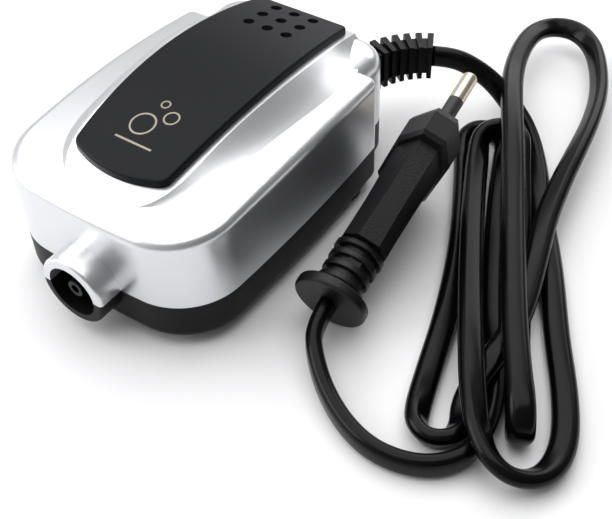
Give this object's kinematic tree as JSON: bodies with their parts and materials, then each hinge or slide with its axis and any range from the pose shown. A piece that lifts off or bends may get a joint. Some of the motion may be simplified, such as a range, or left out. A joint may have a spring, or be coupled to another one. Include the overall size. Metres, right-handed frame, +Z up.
{
  "type": "aquarium air pump",
  "caption": "Small two-shell diaphragm air pump with an arched vented top panel, a ringed front outlet, and a folded flat mains lead with a two-pin plug.",
  "frame": {"origin": "centre of the casing's outline without its lead, on the plane that the rubber feet stand on", "axes": "+Z up; -Y is the way the air outlet points; the mains lead leaves the rear end at +Y; +X is the plug's side"},
  "size_m": [0.1471, 0.1737, 0.0435],
  "materials": {
    "silver_shell": "satin",
    "black_shell": "satin",
    "charcoal_panel": "satin",
    "foot_rubber": "matte",
    "screw_steel": "satin",
    "nozzle_plastic": "satin",
    "hose_silicone": "satin",
    "core_steel": "matte",
    "bobbin_nylon": "matte",
    "copper_wire": "gloss",
    "damper_rubber": "matte",
    "arm_nylon": "matte",
    "ferrite_magnet": "matte",
    "holder_nylon": "matte",
    "pin_steel": "gloss",
    "diaphragm_rubber": "matte",
    "chamber_plastic": "matte",
    "filter_felt": "matte",
    "flap_rubber": "satin",
    "relief_pvc": "satin",
    "lead_wire": "satin",
    "cord_pvc": "gloss",
    "plug_pvc": "satin",
    "pin_nickel": "satin",
    "sleeve_nylon": "matte"
  },
  "bodies": {
    "case": {"upper_casing": "silver_shell", "lower_casing": "black_shell", "top_panel": "charcoal_panel", "foot_front_left": "foot_rubber", "foot_front_right": "foot_rubber", "foot_rear_left": "foot_rubber", "foot_rear_right": "foot_rubber", "casing_screws": "screw_steel", "core_screws": "screw_steel", "bracket_screws": "screw_steel", "chamber_screws": "screw_steel", "outlet_nozzle": "nozzle_plastic", "air_hose": "hose_silicone", "core_laminations": "core_steel", "coil_bobbin": "bobbin_nylon", "coil_winding": "copper_wire", "damping_pads": "damper_rubber", "pivot_bracket": "holder_nylon", "pivot_pin": "pin_steel", "diaphragm": "diaphragm_rubber", "air_chamber": "chamber_plastic", "chamber_cover": "chamber_plastic", "diaphragm_clamp": "chamber_plastic", "vent_felt": "filter_felt", "inlet_felt": "filter_felt", "strain_relief": "relief_pvc", "lead_wires": "lead_wire", "mains_cord": "cord_pvc", "plug_body": "plug_pvc", "plug_pins": "pin_nickel", "pin_sleeves": "sleeve_nylon"},
    "arm": {"swing_arm": "arm_nylon", "arm_magnet": "ferrite_magnet", "magnet_holder": "holder_nylon", "diaphragm_stud": "arm_nylon"},
    "inlet_flap": {"inlet_flap": "flap_rubber"},
    "outlet_flap": {"outlet_flap": "flap_rubber"}
  },
  "joints": [
    {"name": "arm_swing", "type": "hinge", "parent": "case", "child": "arm", "pos_m": [-0.0084, -0.025, 0.019], "axis": [0, 0, 1], "range_deg": [-1.5, 1.5], "stiffness_Nm_per_rad": 0.02, "deforming": ["diaphragm"]},
    {"name": "inlet_flap_lift", "type": "hinge", "parent": "case", "child": "inlet_flap", "pos_m": [0.00445, -0.011, 0.026], "axis": [0, 1, 0], "range_deg": [0, 12]},
    {"name": "outlet_flap_lift", "type": "hinge", "parent": "case", "child": "outlet_flap", "pos_m": [0.00705, -0.011, 0.017], "axis": [0, -1, 0], "range_deg": [0, 12]}
  ]
}
